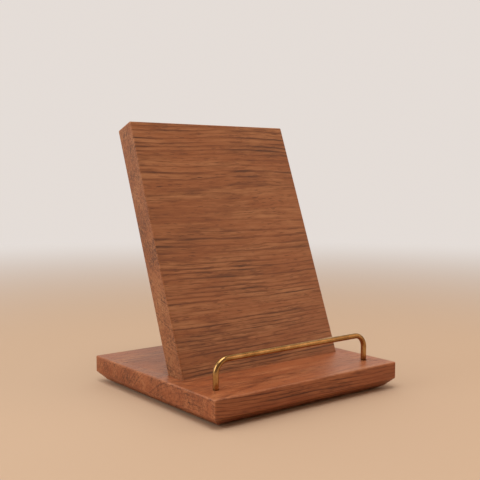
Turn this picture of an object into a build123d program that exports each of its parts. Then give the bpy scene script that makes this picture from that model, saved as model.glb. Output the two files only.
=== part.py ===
from build123d import *
import os
from math import cos, radians, sin, tan

# Book display stand, in millimetres: a chamfered wooden base, a back board leaning in a sloping
# housing, and a bent brass rod that stops the book's foot.
#
# Frame: X across the stand, Y from the front edge to the back, Z up. The origin is the centre of
# the base's outline, on the surface that the stand rests on.

# ---- driving dimensions --------------------------------------------------------------------

BASE_WIDTH = 160.0
BASE_DEPTH = 150.0
BOARD_STOCK = 17.5          # both boards are planed to the same thickness
EASING = 1.0                # radius that takes the sharpness off the arrises
BASE_CHAMFER = 6.0          # 45 degree chamfer under the base, all round

PAD_DIAMETER = 10.0
PAD_THICKNESS = 1.5
PAD_INSET = 15.0            # pad centre to the base's edges
PAD_EASING = 0.3

BOARD_WIDTH = 139.0
BOARD_LEAN = 21.0           # degrees back from the vertical
BOARD_FACE_HEIGHT = 183.0   # along the front face, from the base's top to the board's top
BOARD_SETBACK = 49.5        # from the base's front edge to the front face, on the base's top
HOUSING_DEPTH = 4.0         # vertical depth of the housing at the board's front face
HOUSING_GAP = 0.1           # glue line round the board's foot

ROD_DIAMETER = 4.0
ROD_INSET_SIDE = 14.0       # leg centre to the base's side
ROD_SETBACK = 18.5          # leg centre to the base's front edge
ROD_CLEAR_HEIGHT = 16.7     # from the base's top to the underside of the bar
ROD_BEND_RADIUS = 9.0       # on the centre line
ROD_END_CHAMFER = 0.4
ROD_HOLE_DIAMETER = 4.1
ROD_HOLE_DEPTH = 13.0
ROD_EMBEDMENT = 12.0        # length of each leg inside its hole

SCREW_COUNT = 3
SCREW_SPACING = 50.0
SCREW_LENGTH = 30.0
SCREW_SHANK_DIAMETER = 3.0
SCREW_HEAD_DIAMETER = 7.0
SCREW_HEAD_RIM = 0.4        # straight edge of the head above its cone
SCREW_HEAD_ANGLE = 90.0     # included angle of the countersunk head
SCREW_POINT_LENGTH = 4.0
SCREW_RECESS_SPAN = 3.6     # cross recess in the head
SCREW_RECESS_WIDTH = 0.8
SCREW_RECESS_DEPTH = 1.4
SCREW_RECESS_TAPER = 12.0   # degrees
SCREW_SINK = 3.5            # from the base's underside in to the head's face, along the screw
SINK_DIAMETER = 8.0         # counterbore over the head
CLEARANCE_HOLE_DIAMETER = 3.8
PILOT_DIAMETER = 3.1
PILOT_SPARE_DEPTH = 1.0     # drilled beyond the screw's point

# ---- derived positions -----------------------------------------------------------------------

UNDERSIDE_Z = PAD_THICKNESS
BASE_TOP_Z = PAD_THICKNESS + BOARD_STOCK
FRONT_EDGE_Y = -BASE_DEPTH / 2

lean = radians(BOARD_LEAN)
lean_axis = Vector(0, sin(lean), cos(lean))        # up the back board
through_board = Vector(0, cos(lean), -sin(lean))   # from its front face to its back face

# The board's foot stands on the housing floor, which is square to the lean. The foot plane is
# centred on the board's thickness, with its own Z pointing up the board.
face_at_top = Vector(0, FRONT_EDGE_Y + BOARD_SETBACK, BASE_TOP_Z)
buried_length = HOUSING_DEPTH / cos(lean)
foot_centre = face_at_top - lean_axis * buried_length + through_board * (BOARD_STOCK / 2)
foot_plane = Plane(origin=foot_centre, x_dir=(1, 0, 0), z_dir=lean_axis)
board_length = buried_length + BOARD_FACE_HEIGHT

# The screws' head faces lie in a plane square to the lean, SCREW_SINK inside the underside.
foot_to_underside = (foot_centre.Z - UNDERSIDE_Z) / cos(lean)
head_centre = foot_centre - lean_axis * (foot_to_underside - SCREW_SINK)
head_plane = Plane(origin=head_centre, x_dir=(1, 0, 0), z_dir=-lean_axis)
screw_in_board = SCREW_LENGTH - (foot_to_underside - SCREW_SINK)


def make_base_board():
    """Flat board with the housing for the back board and every hole."""
    with BuildPart() as base_board:
        with BuildSketch(Plane.XY.offset(UNDERSIDE_Z)):
            Rectangle(BASE_WIDTH, BASE_DEPTH)
        extrude(amount=BOARD_STOCK)
        chamfer(base_board.faces().sort_by(Axis.Z)[0].edges(), length=BASE_CHAMFER)
        flat_edges = base_board.edges().filter_by(Plane.XY)
        rim = flat_edges.group_by(Axis.Z)[-1]
        corners = base_board.edges() - flat_edges
        fillet(corners + rim, radius=EASING)

        with BuildSketch(foot_plane):
            RectangleRounded(
                BOARD_WIDTH + 2 * HOUSING_GAP, BOARD_STOCK + 2 * HOUSING_GAP, EASING + HOUSING_GAP
            )
        extrude(amount=BOARD_STOCK, mode=Mode.SUBTRACT)

        with Locations((0, FRONT_EDGE_Y + ROD_SETBACK, BASE_TOP_Z)):
            with GridLocations(BASE_WIDTH - 2 * ROD_INSET_SIDE, 1, 2, 1):
                Hole(ROD_HOLE_DIAMETER / 2, depth=ROD_HOLE_DEPTH)

        with Locations(head_plane):
            with GridLocations(SCREW_SPACING, 1, SCREW_COUNT, 1):
                CounterSinkHole(
                    CLEARANCE_HOLE_DIAMETER / 2,
                    SINK_DIAMETER / 2,
                    depth=foot_to_underside,
                    counter_sink_angle=SCREW_HEAD_ANGLE,
                )
    return base_board


def make_back_board():
    """Plain leaning board, square at both ends, with the screws' pilot holes in its foot."""
    with BuildPart() as back_board:
        with BuildSketch(foot_plane):
            RectangleRounded(BOARD_WIDTH, BOARD_STOCK, EASING)
        extrude(amount=board_length)
        top_face = back_board.faces().sort_by(Axis(foot_centre, lean_axis))[-1]
        fillet(top_face.edges(), radius=EASING)

        with Locations(Plane(origin=foot_centre, x_dir=(1, 0, 0), z_dir=-lean_axis)):
            with GridLocations(SCREW_SPACING, 1, SCREW_COUNT, 1):
                Hole(PILOT_DIAMETER / 2, depth=screw_in_board + PILOT_SPARE_DEPTH)
    return back_board


def make_holder_bar():
    """Round rod bent to a wide staple, its legs standing in the base's holes."""
    leg_x = BASE_WIDTH / 2 - ROD_INSET_SIDE
    leg_y = FRONT_EDGE_Y + ROD_SETBACK
    leg_z = BASE_TOP_Z - ROD_EMBEDMENT
    bar_z = BASE_TOP_Z + ROD_CLEAR_HEIGHT + ROD_DIAMETER / 2
    with BuildPart() as holder_bar:
        with BuildLine() as centre_line:
            FilletPolyline(
                (-leg_x, leg_y, leg_z),
                (-leg_x, leg_y, bar_z),
                (leg_x, leg_y, bar_z),
                (leg_x, leg_y, leg_z),
                radius=ROD_BEND_RADIUS,
            )
        with BuildSketch(Plane(origin=(-leg_x, leg_y, leg_z), z_dir=(0, 0, 1))):
            Circle(ROD_DIAMETER / 2)
        sweep(path=centre_line.wires()[0])
        leg_ends = holder_bar.faces().filter_by(Axis.Z).edges()
        chamfer(leg_ends, length=ROD_END_CHAMFER)
    return holder_bar


def make_screw():
    """One countersunk wood screw, its head's face on the XY plane and its point towards -Z."""
    shank_radius = SCREW_SHANK_DIAMETER / 2
    head_radius = SCREW_HEAD_DIAMETER / 2
    cone_foot_z = -SCREW_HEAD_RIM - (head_radius - shank_radius) / tan(radians(SCREW_HEAD_ANGLE / 2))
    with BuildPart() as screw:
        with BuildSketch(Plane.XZ):
            with BuildLine():
                Polyline(
                    (0, 0),
                    (head_radius, 0),
                    (head_radius, -SCREW_HEAD_RIM),
                    (shank_radius, cone_foot_z),
                    (shank_radius, -SCREW_LENGTH + SCREW_POINT_LENGTH),
                    (0, -SCREW_LENGTH),
                    close=True,
                )
            make_face()
        revolve(axis=Axis.Z)
        with BuildSketch(Plane.XY):
            Rectangle(SCREW_RECESS_SPAN, SCREW_RECESS_WIDTH)
            Rectangle(SCREW_RECESS_WIDTH, SCREW_RECESS_SPAN)
        extrude(amount=-SCREW_RECESS_DEPTH, taper=SCREW_RECESS_TAPER, mode=Mode.SUBTRACT)
    return screw


def make_back_board_screws():
    """The row of screws that pulls the back board down into its housing."""
    screw = make_screw()
    with BuildPart() as back_board_screws:
        with Locations(head_plane):
            with GridLocations(SCREW_SPACING, 1, SCREW_COUNT, 1):
                add(screw.part)
    return back_board_screws


def make_pad(side, end):
    """Thin round pad under one corner: side -1 is left, end -1 is the front."""
    pad_x = side * (BASE_WIDTH / 2 - PAD_INSET)
    pad_y = end * (BASE_DEPTH / 2 - PAD_INSET)
    with BuildPart() as pad:
        with BuildSketch(Plane(origin=(pad_x, pad_y, 0))):
            Circle(PAD_DIAMETER / 2)
        extrude(amount=PAD_THICKNESS)
        fillet(pad.edges().sort_by(Axis.Z)[0], radius=PAD_EASING)
    return pad


pieces = {
    "base_board": make_base_board(),
    "back_board": make_back_board(),
    "holder_bar": make_holder_bar(),
    "back_board_screws": make_back_board_screws(),
}
for end_name, end in (("front", -1), ("rear", 1)):
    for side_name, side in (("left", -1), ("right", 1)):
        pieces[f"{end_name}_{side_name}_pad"] = make_pad(side, end)

os.makedirs("parts", exist_ok=True)
for node, piece in pieces.items():
    piece.part.label = node
    export_step(piece.part, f"parts/{node}.step")
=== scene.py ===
from math import cos, pi, radians, sin

import bmesh
import bpy
from mathutils import Matrix, Vector


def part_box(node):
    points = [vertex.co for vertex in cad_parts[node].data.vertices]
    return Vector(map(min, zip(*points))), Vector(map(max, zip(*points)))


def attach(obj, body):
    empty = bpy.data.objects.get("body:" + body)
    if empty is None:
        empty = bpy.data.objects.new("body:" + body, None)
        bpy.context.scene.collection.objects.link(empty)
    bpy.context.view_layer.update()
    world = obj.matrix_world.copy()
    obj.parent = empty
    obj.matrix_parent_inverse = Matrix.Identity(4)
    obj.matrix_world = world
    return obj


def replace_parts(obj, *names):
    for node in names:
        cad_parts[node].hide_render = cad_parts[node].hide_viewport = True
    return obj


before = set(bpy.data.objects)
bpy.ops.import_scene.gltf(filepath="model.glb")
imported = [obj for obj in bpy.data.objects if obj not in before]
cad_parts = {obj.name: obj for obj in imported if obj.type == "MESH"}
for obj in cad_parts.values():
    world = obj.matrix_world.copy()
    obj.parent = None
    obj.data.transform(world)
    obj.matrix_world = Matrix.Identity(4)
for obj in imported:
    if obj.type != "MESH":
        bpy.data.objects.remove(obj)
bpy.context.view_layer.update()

# Looks of the book display stand: oiled wood, a bent brass rod, plated screws and rubber pads.
# Lengths are in metres, in the CAD frame: X across, Y from the front to the back, Z up.
# Materials work in millimetres, in each piece's own frame. A board's frame is centred on it, and the
# rod's starts at its feet.

MM = 0.001

# ---- camera, light and floor -----------------------------------------------------------------

CAMERA_PLACE = Vector((-0.3531, -0.4506, 0.1526))
CAMERA_YAW = radians(37.84)      # the camera looks this far to the right of +Y
CAMERA_PITCH = radians(4.69)     # and this far below the horizon
CAMERA_LENS = 59.86              # focal length and sensor width, in millimetres
CAMERA_SENSOR = 36.0
CAMERA_CLIP = 0.01               # it shows nothing nearer than this

ROOM_COLOUR = (0.78, 0.72, 0.68)         # what the camera sees round the stand
BEHIND_COLOUR = (0.90, 0.83, 0.73)       # light from the room behind the stand
BEFORE_COLOUR = (0.26, 0.185, 0.14)      # and from the room before it
FLOOR_COLOUR = (0.53, 0.385, 0.275)
FLOOR_RADIUS = 3.0
FLOOR_SIDES = 96
FLOOR_FADE = (0.20, 1.3)                 # distances between which the floor turns into the room

LIT_POINT = Vector((0, 0, 0.08))         # what the lights face

# lights: place, size, watts, colour
KEY_LIGHT = ((-0.25, -0.20, 1.35), 1.0, 12, (1.0, 0.97, 0.92))
WINDOW_LIGHT = ((-1.10, 0.35, 0.55), 0.7, 4.2, (1.0, 0.96, 0.90))
FILL_LIGHT = ((0.46, -0.46, 0.37), 0.56, 1.0, (1.0, 0.72, 0.52))

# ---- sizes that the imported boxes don't give ---------------------------------------------------

BOARD_LEAN = radians(21.0)
ROD_BEND_RADIUS = 9 * MM
ROD_END_CHAMFER = 0.4 * MM
ROD_EMBEDMENT = 12 * MM
ROD_SIDES = 40
LEG_PARTS = 4                    # lengths that each straight leg is divided into
HALF_BAR_PARTS = 5               # and each half of the bar between its bends
BEND_STEPS = 20
BEND_FLATTENING = 0.04           # how much the bending has thinned the rod, as a share
SCREW_COUNT = 3
SCREW_HEAD_RADIUS = 3.5 * MM
SCREW_CORE_RADIUS = 1.5 * MM
SCREW_POINT_LENGTH = 4 * MM
THREAD_START = 0.9 * MM          # from the screw's tip
THREAD_LENGTH = 17.6 * MM
THREAD_PITCH = 1.6 * MM
THREAD_STEPS = 28                # in each turn
THREAD_HEIGHT = 0.5 * MM         # out from the core
THREAD_SINK = 0.1 * MM           # into the core, so that the ridge has no gap under it
THREAD_FOOT = 0.22 * MM          # half the ridge's width at the core
THREAD_CREST = 0.04 * MM         # and at its top
THREAD_RUN_IN = 4 * MM           # the ridge grows by its whole height in this length
THREAD_RUN_OUT = 1 * MM          # and loses as much in this one
THREAD_FIRST = 0.25              # share of its height that it begins with
THREAD_LAST = 0.05               # and ends with

# ---- mesh clean-up ----------------------------------------------------------------------------

WELD_DISTANCE = 0.001 * MM
FLAT_ANGLE = radians(0.02)       # faces this close to level with each other become one
SHARP_ANGLE = radians(35)        # and an edge sharper than this one is shaded as an edge

scene = bpy.context.scene
scene.view_settings.view_transform = "Standard"


def aim(thing, direction):
    """Points a camera or a light along direction."""
    thing.rotation_euler = direction.to_track_quat("-Z", "Y").to_euler()


def add_camera():
    data = bpy.data.cameras.new("camera")
    data.lens = CAMERA_LENS
    data.sensor_width = CAMERA_SENSOR
    data.clip_start = CAMERA_CLIP
    camera = bpy.data.objects.new("camera", data)
    camera.location = CAMERA_PLACE
    level = cos(CAMERA_PITCH)
    aim(camera, Vector((sin(CAMERA_YAW) * level, cos(CAMERA_YAW) * level, -sin(CAMERA_PITCH))))
    scene.collection.objects.link(camera)
    scene.camera = camera


def add_area_light(name, place, size, power, colour):
    """A square soft box that faces the stand's middle."""
    data = bpy.data.lights.new(name, "AREA")
    data.size = size
    data.energy = power
    data.color = colour
    light = bpy.data.objects.new(name, data)
    light.location = place
    aim(light, LIT_POINT - Vector(place))
    scene.collection.objects.link(light)


# ---- node building ---------------------------------------------------------------------------


class Nodes:
    """Adds nodes to a tree. A socket given as an input is linked, and a number is set."""

    def __init__(self, tree):
        self.tree = tree

    def add(self, kind, inputs=None, **settings):
        """A new node, with its inputs fed by number or name and its settings set."""
        node = self.tree.nodes.new(kind)
        for key, value in settings.items():
            setattr(node, key, value)
        self.feed(node, inputs or {})
        return node

    def feed(self, node, inputs):
        for key, value in inputs.items():
            if isinstance(value, bpy.types.NodeSocket):
                self.tree.links.new(value, node.inputs[key])
            else:
                node.inputs[key].default_value = value

    def math(self, operation, *values):
        inputs = dict(enumerate(values))
        return self.add("ShaderNodeMath", inputs, operation=operation).outputs[0]

    def total(self, *terms):
        """Adds up terms, each a socket, a number or a (socket, weight) pair."""
        result = 0.0
        for term in terms:
            socket, weight = term if isinstance(term, tuple) else (term, 1.0)
            result = self.math("MULTIPLY_ADD", socket, weight, result)
        return result

    def vector(self, operation, *values):
        node = self.add("ShaderNodeVectorMath", dict(enumerate(values)), operation=operation)
        gives_number = operation in ("LENGTH", "DOT_PRODUCT")
        return node.outputs["Value" if gives_number else "Vector"]

    def split(self, vector):
        return self.add("ShaderNodeSeparateXYZ", {0: vector}).outputs

    def join(self, x, y, z):
        return self.add("ShaderNodeCombineXYZ", {0: x, 1: y, 2: z}).outputs[0]

    def noise(self, vector, stretch, detail=2.0, roughness=0.5, output=0):
        """Cloud noise, with stretch its frequency along each axis. Output 1 gives it in colour."""
        vector = self.vector("MULTIPLY", vector, stretch)
        inputs = {"Vector": vector, "Scale": 1.0, "Detail": detail, "Roughness": roughness}
        return self.add("ShaderNodeTexNoise", inputs).outputs[output]

    def wander(self, vector, stretch, reach, detail):
        """A vector that wanders by up to about half of reach to each side of zero."""
        cloud = self.noise(vector, stretch, detail, output=1)
        return self.vector("MULTIPLY", self.vector("SUBTRACT", cloud, (0.5, 0.5, 0.5)), reach)

    def between(self, value, low, high):
        """0 where value is low, 1 where it is high, and smooth in between. Either may be the larger."""
        inputs = {0: value, 1: low, 2: high}
        return self.add("ShaderNodeMapRange", inputs, interpolation_type="SMOOTHSTEP").outputs[0]

    def mix(self, factor, a, b, blend="MIX"):
        node = self.add("ShaderNodeMix", data_type="RGBA", blend_type=blend)
        self.feed(node, {0: factor, 6: a, 7: b})
        return node.outputs[2]

    def ramp(self, value, stops):
        """A colour for value, from (position, colour) pairs."""
        node = self.add("ShaderNodeValToRGB", {0: value})
        elements = node.color_ramp.elements
        while len(elements) < len(stops):
            elements.new(0.5)
        for element, (position, colour) in zip(elements, stops):
            element.position = position
            element.color = (*colour, 1)
        return node.outputs[0]

    def pores(self, vector, stretch, opening, smallest, spread):
        """Spots, one to a cell. Their size is opening times smallest and a random part of spread."""
        inputs = {"Vector": self.vector("MULTIPLY", vector, stretch), "Scale": 1.0}
        cells = self.add("ShaderNodeTexVoronoi", inputs)
        chance = self.split(cells.outputs["Color"])[0]
        size = self.math("MULTIPLY", self.total((chance, spread), smallest), opening)
        return self.between(self.math("SUBTRACT", cells.outputs["Distance"], size), 0.08, 0.0)


class Surface(Nodes):
    """A new material, with mm as the place in the piece's own frame, in millimetres.

    lean turns that frame back about X with a piece that leans.
    """

    def __init__(self, name, lean=0.0):
        self.material = bpy.data.materials.new(name)
        self.material.use_nodes = True
        super().__init__(self.material.node_tree)
        self.shader = self.tree.nodes["Principled BSDF"]
        self.lean = lean
        place = self.add("ShaderNodeTexCoord").outputs["Object"]
        self.mm = self.vector("MULTIPLY", self.stand_up(place), (1 / MM, 1 / MM, 1 / MM))

    def stand_up(self, vector):
        """Turns a vector into the frame of a piece that leans."""
        turn = {"Vector": vector, "Angle": self.lean}
        return self.add("ShaderNodeVectorRotate", turn, rotation_type="X_AXIS").outputs[0]

    def bump(self, height, strength, depth):
        """A normal from height, where 1 stands depth millimetres proud."""
        inputs = {"Strength": strength, "Distance": depth * MM, "Height": height}
        return self.add("ShaderNodeBump", inputs).outputs[0]

    def finish(self, **inputs):
        """Feeds the shader, whose inputs are named with _ for a space, and gives the material."""
        self.feed(self.shader, {key.replace("_", " "): value for key, value in inputs.items()})
        return self.material


# ---- room ------------------------------------------------------------------------------------


def add_world():
    """A plain pale room to the camera, and to the stand one that is dimmer and warmer before it."""
    world = bpy.data.worlds.new("studio")
    world.use_nodes = True
    s = Nodes(world.node_tree)
    towards_back = s.split(s.add("ShaderNodeTexCoord").outputs["Generated"])[1]
    light = s.mix(s.between(towards_back, -0.5, 0.5), (*BEFORE_COLOUR, 1), (*BEHIND_COLOUR, 1))
    seen = s.add("ShaderNodeLightPath").outputs["Is Camera Ray"]
    colour = s.mix(seen, light, (*ROOM_COLOUR, 1))
    s.feed(world.node_tree.nodes["Background"], {"Color": colour})
    scene.world = world


def make_floor_material():
    """Pale matt board that turns into the room's colour with distance, so no horizon shows."""
    s = Surface("floor")
    fade = s.between(s.vector("LENGTH", s.mm), FLOOR_FADE[0] / MM, FLOOR_FADE[1] / MM)
    board = s.finish(Base_Color=(*FLOOR_COLOUR, 1), Roughness=0.75, Specular_IOR_Level=0.2)
    room = s.add("ShaderNodeEmission", {"Color": (*ROOM_COLOUR, 1), "Strength": 1.0})
    both = s.add("ShaderNodeMixShader", {0: fade, 1: s.shader.outputs[0], 2: room.outputs[0]})
    s.feed(s.tree.nodes["Material Output"], {"Surface": both.outputs[0]})
    return board


def add_floor():
    mesh = bpy.data.meshes.new("floor")
    shape = bmesh.new()
    bmesh.ops.create_circle(shape, cap_ends=True, radius=FLOOR_RADIUS, segments=FLOOR_SIDES)
    shape.to_mesh(mesh)
    shape.free()
    mesh.materials.append(make_floor_material())
    ground = bpy.data.objects.new("floor", mesh)
    scene.collection.objects.link(ground)


# ---- materials -------------------------------------------------------------------------------


class Wood(Surface):
    """Oiled open-grained hardwood as a solid: growth rings round a pith line that runs along X.

    half_size is the board's half size in its own frame, which leans by lean. pith is the pith line's
    (y, z), and dip is how far the grain falls at the board's left end, all in millimetres. shift moves
    the noise, so that boards differ.
    """

    ring_width = 2.3
    ring_unevenness = 1.6    # the noise moves a ring by up to about this many rings
    dip_length = 22.0        # this far from the left end, the fall is down to about a third
    wear_edge = 1.3          # wear begins this far from an arris
    wear_core = 0.3          # and is whole from here
    shades = (
        (0.02, (0.075, 0.018, 0.006)),
        (0.32, (0.165, 0.043, 0.0125)),
        (0.58, (0.270, 0.080, 0.0250)),
        (0.95, (0.430, 0.155, 0.0600)),
    )
    red_patch = (0.30, 0.075, 0.020, 1)
    pore_colour = (0.040, 0.010, 0.004, 1)
    worn_colour = (0.46, 0.19, 0.08, 1)

    def __init__(self, name, half_size, lean, pith, dip, shift):
        super().__init__(name, lean)
        self.half_size = half_size
        self.moved = self.vector("ADD", self.mm, shift)
        self.normal = self.stand_up(self.add("ShaderNodeNewGeometry").outputs["True Normal"])
        grain = self.bend_grain(dip)
        self.warped = self.vector("ADD", grain, shift)
        self.grow_rings(grain, pith)

        # figure drawn out along the grain, from coarse to fine, and where fine pores crowd together
        self.tone = self.figure(0.010, 0.055, 0.30, 0.70)
        self.streak = self.figure(0.030, 0.55, 0.28, 0.72, detail=3, roughness=0.6)
        self.dash = self.figure(0.075, 1.25, 0.30, 0.70, roughness=0.6)
        self.fibre = self.figure(0.16, 2.8, 0.25, 0.75, detail=3, roughness=0.65)
        self.crowd = self.figure(0.045, 0.42, 0.38, 0.62)

        # the rings' dark lines are fainter in light streaks
        self.late = self.math("MULTIPLY", self.late, self.total((self.streak, -0.7), 1.15))

        # end grain shows where the surface faces along the fibres
        self.end_grain = self.between(self.math("ABSOLUTE", self.split(self.normal)[0]), 0.55, 0.9)

    def bend_grain(self, dip):
        """The place in straight-grown wood that has come to lie at each place in the board."""
        bend = self.wander(self.moved, (0.006, 0.012, 0.012), (0, 9, 9), detail=1)
        ripple = self.wander(self.moved, (0.035, 0.10, 0.10), (0, 1.3, 1.3), detail=2)
        from_end = self.total((self.split(self.mm)[0], 1.0), self.half_size[0])
        fall = self.math("EXPONENT", self.math("MULTIPLY", from_end, -1 / self.dip_length))
        fall = self.join(0.0, 0.0, self.math("MULTIPLY", fall, -dip))
        bent = self.vector("ADD", self.mm, bend)
        return self.vector("ADD", bent, self.vector("ADD", ripple, fall))

    def grow_rings(self, grain, pith):
        """Sets ring, 0 to 1 across a year's growth, ring_chance, random for each year, and late.

        late is the dark line that ends a year. It is weaker where the face lies along the ring, because
        it would be a broad patch there.
        """
        from_pith = self.vector("MULTIPLY", self.vector("SUBTRACT", grain, (0, *pith)), (0, 1, 1))
        radius = self.vector("LENGTH", from_pith)
        years = self.noise(self.join(radius, 0.0, 0.0), (0.12, 1, 1))
        rings = self.total((radius, 1 / self.ring_width), (years, self.ring_unevenness))
        self.ring = self.math("FRACT", rings)
        number = {"W": self.math("FLOOR", rings)}
        year = self.add("ShaderNodeTexWhiteNoise", number, noise_dimensions="1D")
        self.ring_chance = year.outputs["Value"]
        darkening = self.between(self.ring, 0.50, 0.93)
        line = self.math("MULTIPLY", darkening, self.between(self.ring, 1.0, 0.96))
        line = self.math("MULTIPLY", line, self.total((self.ring_chance, 0.8), 0.2))
        outward = self.vector("NORMALIZE", from_pith)
        facing = self.math("ABSOLUTE", self.vector("DOT_PRODUCT", outward, self.normal))
        along_ring = self.between(facing, 0.88, 1.0)
        self.late = self.math("MULTIPLY", line, self.total((along_ring, -0.6), 1.0))

    def figure(self, along, across, low, high, detail=2, roughness=0.5):
        """Noise with these frequencies along and across the grain, spread from 0 at low to 1 at high."""
        cloud = self.noise(self.warped, (along, across, across), detail, roughness)
        return self.between(cloud, low, high)

    def open_pores(self):
        """Thin dark vessels: fine ones in crowds and single coarse ones, widest early in a ring."""
        opening = self.total((self.ring, -0.5), 1.0)
        fine = self.pores(self.warped, (0.11, 2.3, 2.3), opening, 0.04, 0.30)
        coarse = self.pores(self.warped, (0.07, 1.15, 1.15), opening, 0.00, 0.22)
        fine = self.math("MULTIPLY", fine, self.total((self.crowd, 0.75), 0.25))
        return self.math("MAXIMUM", fine, self.math("MULTIPLY", coarse, 0.85))

    def worn_arrises(self):
        """Patches along the arrises. The middle one of the distances to the faces leads to an arris."""
        to_face = self.vector("SUBTRACT", tuple(self.half_size), self.vector("ABSOLUTE", self.mm))
        x, y, z = self.split(to_face)
        further = self.math("MINIMUM", self.math("MAXIMUM", x, y), z)
        to_arris = self.math("MAXIMUM", self.math("MINIMUM", x, y), further)
        scuff = self.noise(self.moved, (0.5, 0.5, 0.5), detail=4, roughness=0.65)
        near = self.between(to_arris, self.wear_edge, self.wear_core)
        return self.math("MULTIPLY", near, self.between(scuff, 0.40, 0.62))

    def lightness(self):
        """How light the wood is, about 0 to 1, on its long faces and on its end grain."""
        layers = (          # with the weight of each on long faces and on end grain
            (self.streak, 0.30, 0.44),
            (self.dash, 0.22, 0.64),
            (self.fibre, 0.14, 0.50),
            (self.tone, 0.26, 0.42),
            (self.ring_chance, 0.08, 0.0),
            (self.late, -0.90, -0.60),
            (self.crowd, -0.16, -0.26),
        )
        on_long = self.total(*[(layer, weight) for layer, weight, _ in layers], 0.26)
        on_end = self.total(*[(layer, weight) for layer, _, weight in layers], -0.19)
        return self.add("ShaderNodeMix", {0: self.end_grain, 2: on_long, 3: on_end}).outputs[0]

    def paint(self, tint):
        """Finishes the material, with its colour multiplied by tint."""
        colour = self.ramp(self.lightness(), self.shades)
        pore = self.open_pores()
        redder = self.math("MULTIPLY", self.figure(0.012, 0.10, 0.35, 0.65), 0.5)
        worn = self.math("MULTIPLY", self.worn_arrises(), 0.35)
        colour = self.mix(redder, colour, self.red_patch)
        colour = self.mix(1.0, colour, (*tint, 1), blend="MULTIPLY")
        colour = self.mix(self.math("MULTIPLY", pore, 0.78), colour, self.pore_colour)
        colour = self.mix(worn, colour, self.worn_colour)
        relief = self.total((self.fibre, 0.3), (self.late, -0.1), (pore, -1.0))
        return self.finish(
            Base_Color=colour,
            Roughness=self.total((self.fibre, 0.12), (pore, 0.2), (self.end_grain, 0.10), 0.40),
            Normal=self.bump(relief, 0.35, 0.12),
            IOR=1.5,
            Specular_IOR_Level=0.5,
        )


def make_brass():
    """Drawn brass that has dulled: brown clouds, lines along it that are partly drawn marks and partly
    painted reflection stripes, and a painted shade ring round each foot where it meets the base.

    The rod's UV map holds the turn round it, from 0 to 1, and the distance along it in metres.
    """
    s = Surface("brass")
    turn_share, along = s.split(s.add("ShaderNodeUVMap", uv_map="rod").outputs[0])[:2]
    turn = s.math("MULTIPLY", turn_share, 2 * pi)
    round_rod = s.join(s.math("COSINE", turn), s.math("SINE", turn), s.math("DIVIDE", along, MM))
    # painted reflection: dark and light lines along the rod, partly drawn marks and partly stripes that
    # stand in for reflections
    drawn_and_reflection_stripes = s.noise(round_rod, (9, 9, 0.03), detail=3, roughness=0.7)
    scratch = s.between(s.noise(round_rod, (16, 16, 0.12), detail=2), 0.60, 0.72)
    cloud = s.between(s.noise(s.mm, (0.12, 0.12, 0.12), detail=4, roughness=0.62), 0.35, 0.70)
    spots = s.between(s.noise(s.mm, (1.1, 1.1, 1.1), detail=3, roughness=0.6), 0.60, 0.74)
    # painted shade: the rod is darker just above the base top, where each leg enters it
    over_base = s.total((s.split(s.mm)[2], 1.0), -ROD_EMBEDMENT / MM)
    foot_shade_ring = s.between(over_base, 1.8, 0.2)

    # tarnish clouds and spots, plus the painted reflection stripes and the painted shade at the feet
    tarnish_and_painted_light = s.total((cloud, 0.42), (drawn_and_reflection_stripes, 0.32), (spots, 0.25), (foot_shade_ring, 0.5), 0.08)
    colour = s.ramp(
        tarnish_and_painted_light,
        (
            (0.10, (0.555, 0.345, 0.148)),
            (0.50, (0.375, 0.212, 0.078)),
            (1.00, (0.150, 0.072, 0.024)),
        ),
    )
    rough = s.total((tarnish_and_painted_light, 0.16), (scratch, 0.08), 0.12)
    normal = s.bump(s.total((drawn_and_reflection_stripes, 0.6), (scratch, -0.5)), 0.25, 0.02)
    return s.finish(Base_Color=colour, Metallic=1.0, Roughness=rough, Normal=normal)


def make_steel():
    """Zinc plating: a satin grey with faint blue and yellow clouds and small darker, rougher grey
    specks.
    """
    s = Surface("plated_steel")
    cloud = s.between(s.noise(s.mm, (0.45, 0.45, 0.45), detail=3), 0.35, 0.65)
    grain = s.noise(s.mm, (7, 7, 7), detail=3, roughness=0.7)
    colour = s.mix(cloud, (0.56, 0.58, 0.60, 1), (0.62, 0.58, 0.47, 1))
    colour = s.mix(s.between(grain, 0.52, 0.72), colour, (0.36, 0.35, 0.33, 1))
    rough = s.total((cloud, 0.10), (grain, 0.25), 0.20)
    normal = s.bump(grain, 0.3, 0.03)
    return s.finish(Base_Color=colour, Metallic=1.0, Roughness=rough, Normal=normal)


def make_rubber():
    """Matt black rubber with a fine grain and a little dust."""
    s = Surface("pad_rubber")
    grain = s.noise(s.mm, (6, 6, 6), detail=4, roughness=0.7)
    dust = s.between(s.noise(s.mm, (0.6, 0.6, 0.6), detail=4, roughness=0.65), 0.50, 0.70)
    colour = s.mix(s.math("MULTIPLY", dust, 0.35), (0.018, 0.017, 0.016, 1), (0.11, 0.095, 0.08, 1))
    rough = s.total((grain, 0.25), (dust, 0.1), 0.6)
    return s.finish(Base_Color=colour, Roughness=rough, Normal=s.bump(grain, 0.5, 0.08))


# ---- pieces ----------------------------------------------------------------------------------


def own_box(node, lean):
    """Lowest and highest corner of a CAD node, in a frame that leans back with it by lean."""
    back = Matrix.Rotation(lean, 3, "X")
    points = [back @ vertex.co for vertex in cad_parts[node].data.vertices]
    low = Vector([min(point[axis] for point in points) for axis in range(3)])
    high = Vector([max(point[axis] for point in points) for axis in range(3)])
    return low, high


def half_size_mm(node, lean):
    low, high = own_box(node, lean)
    return (high - low) / 2 / MM


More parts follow.
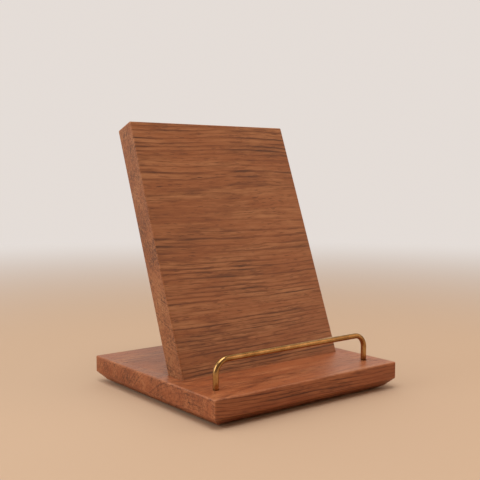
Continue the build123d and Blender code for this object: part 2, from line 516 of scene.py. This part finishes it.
def add_piece(name, mesh, home, material):
    """Shows a mesh, given round the origin of home, as a smooth-shaded piece of the stand."""
    mesh.materials.clear()
    mesh.materials.append(material)
    mesh.shade_smooth()
    mesh.set_sharp_from_angle(angle=SHARP_ANGLE)
    piece = bpy.data.objects.new(name, mesh)
    piece.matrix_world = home
    scene.collection.objects.link(piece)
    normals = piece.modifiers.new("normals", "WEIGHTED_NORMAL")
    normals.keep_sharp = True
    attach(piece, "root")
    return piece


def refine(node, material):
    """A welded copy of a CAD node, centred on its own origin, that stands for the node.

    Its flat sides become single faces, which lets them stay flat in smooth shading. Points left along
    their straight edges go too, because they would make slivers when the sides are cut into triangles.
    """
    low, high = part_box(node)
    home = Matrix.Translation((low + high) / 2)
    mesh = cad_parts[node].data.copy()
    mesh.transform(home.inverted())
    shape = bmesh.new()
    shape.from_mesh(mesh)
    bmesh.ops.remove_doubles(shape, verts=shape.verts, dist=WELD_DISTANCE)
    bmesh.ops.dissolve_limit(shape, angle_limit=FLAT_ANGLE, verts=shape.verts, edges=shape.edges)
    in_line = [vertex for vertex in shape.verts if len(vertex.link_edges) == 2]
    bmesh.ops.dissolve_verts(shape, verts=in_line)
    shape.to_mesh(mesh)
    shape.free()
    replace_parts(add_piece(node + "_finish", mesh, home, material), node)


def rod_rings(half_width, height, radius):
    """Yields (centre, outward direction, squeeze, radius) for each ring along the staple."""
    leg_top = height - ROD_BEND_RADIUS
    left = Vector((-1, 0, 0))
    half = [(Vector((-half_width, 0, 0)), left, 1.0, radius - ROD_END_CHAMFER)]
    for level in (ROD_END_CHAMFER, *(leg_top * part / LEG_PARTS for part in range(1, LEG_PARTS))):
        half.append((Vector((-half_width, 0, level)), left, 1.0, radius))
    centre = Vector((-half_width + ROD_BEND_RADIUS, 0, leg_top))
    for step in range(BEND_STEPS + 1):
        angle = pi / 2 * step / BEND_STEPS
        outward = Vector((-cos(angle), 0, sin(angle)))
        squeeze = 1 - BEND_FLATTENING * sin(2 * angle)
        half.append((centre + outward * ROD_BEND_RADIUS, outward, squeeze, radius))
    yield from half
    span = half_width - ROD_BEND_RADIUS
    for part in range(1 - HALF_BAR_PARTS, HALF_BAR_PARTS):
        yield Vector((span * part / HALF_BAR_PARTS, 0, height)), Vector((0, 0, 1)), 1.0, radius
    for place, outward, squeeze, size in reversed(half):
        yield Vector((-place.x, 0, place.z)), Vector((-outward.x, 0, outward.z)), squeeze, size


def make_rod_mesh(half_width, height, radius):
    """The rod as one smooth tube, slightly flattened in its bends, with UVs round and along it."""
    mesh = bpy.data.meshes.new("rod")
    shape = bmesh.new()
    uv = shape.loops.layers.uv.new("rod")
    rings = []
    along = []
    last = None
    for centre, outward, squeeze, size in rod_rings(half_width, height, radius):
        along.append(along[-1] + (centre - last).length if along else 0.0)
        last = centre
        ring = []
        for k in range(ROD_SIDES):
            angle = 2 * pi * k / ROD_SIDES
            offset = outward * (cos(angle) * squeeze) + Vector((0, sin(angle), 0))
            ring.append(shape.verts.new(centre + offset * size))
        rings.append(ring)
    for level in range(len(rings) - 1):
        low, high = rings[level : level + 2]
        for k in range(ROD_SIDES):
            after = (k + 1) % ROD_SIDES
            face = shape.faces.new((low[k], low[after], high[after], high[k]))
            spots = ((k, level), (k + 1, level), (k + 1, level + 1), (k, level + 1))
            for loop, (turn, row) in zip(face.loops, spots):
                loop[uv].uv = (turn / ROD_SIDES, along[row])
    shape.faces.new(rings[0])
    shape.faces.new(rings[-1])
    bmesh.ops.recalc_face_normals(shape, faces=shape.faces)
    shape.to_mesh(mesh)
    shape.free()
    return mesh


def add_rod(material):
    """The brass staple, rebuilt as one smooth tube on the CAD rod's own centre line."""
    low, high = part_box("holder_bar")
    radius = (high.y - low.y) / 2
    half_width = (high.x - low.x) / 2 - radius
    height = high.z - low.z - radius
    home = Matrix.Translation(((low.x + high.x) / 2, (low.y + high.y) / 2, low.z))
    mesh = make_rod_mesh(half_width, height, radius)
    piece = add_piece("holder_bar_finish", mesh, home, material)
    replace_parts(piece, "holder_bar")


def add_thread(shape, axis_x, axis_y, tip_z):
    """One screw's thread: a thin ridge wound down round the point and then the core.

    The screw stands on its head, on an axis through axis_x and axis_y, with its tip at tip_z.
    """
    rows = int(THREAD_STEPS * THREAD_LENGTH / THREAD_PITCH)
    profiles = []
    for row in range(rows + 1):
        rise = THREAD_LENGTH * row / rows
        from_tip = THREAD_START + rise
        angle = 2 * pi * row / THREAD_STEPS
        across = Vector((cos(angle), sin(angle), 0))
        core = SCREW_CORE_RADIUS * min(1.0, from_tip / SCREW_POINT_LENGTH)
        grown = THREAD_FIRST + rise / THREAD_RUN_IN
        fading = THREAD_LAST + (THREAD_LENGTH - rise) / THREAD_RUN_OUT
        growth = min(1.0, grown, fading)
        middle = Vector((axis_x, axis_y, tip_z - from_tip))
        foot = middle + across * (core - THREAD_SINK)
        crest = middle + across * (core + THREAD_HEIGHT * growth)
        half_foot = Vector((0, 0, THREAD_FOOT))
        half_crest = Vector((0, 0, THREAD_CREST))
        corners = (foot - half_foot, crest - half_crest, crest + half_crest, foot + half_foot)
        profiles.append([shape.verts.new(corner) for corner in corners])
    for first, second in zip(profiles, profiles[1:]):
        for k in range(4):
            after = (k + 1) % 4
            shape.faces.new((first[k], first[after], second[after], second[k]))
    shape.faces.new(profiles[0])
    shape.faces.new(profiles[-1])


def add_screw_threads(material):
    """The threads that the CAD screws leave out."""
    low, high = own_box("back_board_screws", BOARD_LEAN)
    mesh = bpy.data.meshes.new("threads")
    shape = bmesh.new()
    first_x = low.x + SCREW_HEAD_RADIUS
    spacing = (high.x - low.x - 2 * SCREW_HEAD_RADIUS) / (SCREW_COUNT - 1)
    for number in range(SCREW_COUNT):
        add_thread(shape, first_x + spacing * number, (low.y + high.y) / 2, high.z)
    bmesh.ops.recalc_face_normals(shape, faces=shape.faces)
    shape.to_mesh(mesh)
    shape.free()
    mesh.transform(Matrix.Rotation(-BOARD_LEAN, 4, "X"))
    add_piece("screw_threads", mesh, Matrix.Identity(4), material)


base_wood = Wood(
    "base_wood", half_size_mm("base_board", 0), lean=0, pith=(-50, -78), dip=5.0, shift=(0, 0, 0)
).paint(tint=(1, 1, 1))
board_wood = Wood(
    "board_wood",
    half_size_mm("back_board", BOARD_LEAN),
    lean=BOARD_LEAN,
    pith=(-60, 30),
    dip=0.0,
    shift=(310, 90, 40),
).paint(tint=(0.95, 1.12, 1.14))
steel = make_steel()
rubber = make_rubber()

refine("base_board", base_wood)
refine("back_board", board_wood)
refine("back_board_screws", steel)
add_screw_threads(steel)
add_rod(make_brass())
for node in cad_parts:
    if node.endswith("_pad"):
        refine(node, rubber)

add_camera()
add_world()
add_floor()
add_area_light("key", *KEY_LIGHT)
add_area_light("window", *WINDOW_LIGHT)
add_area_light("fill", *FILL_LIGHT)
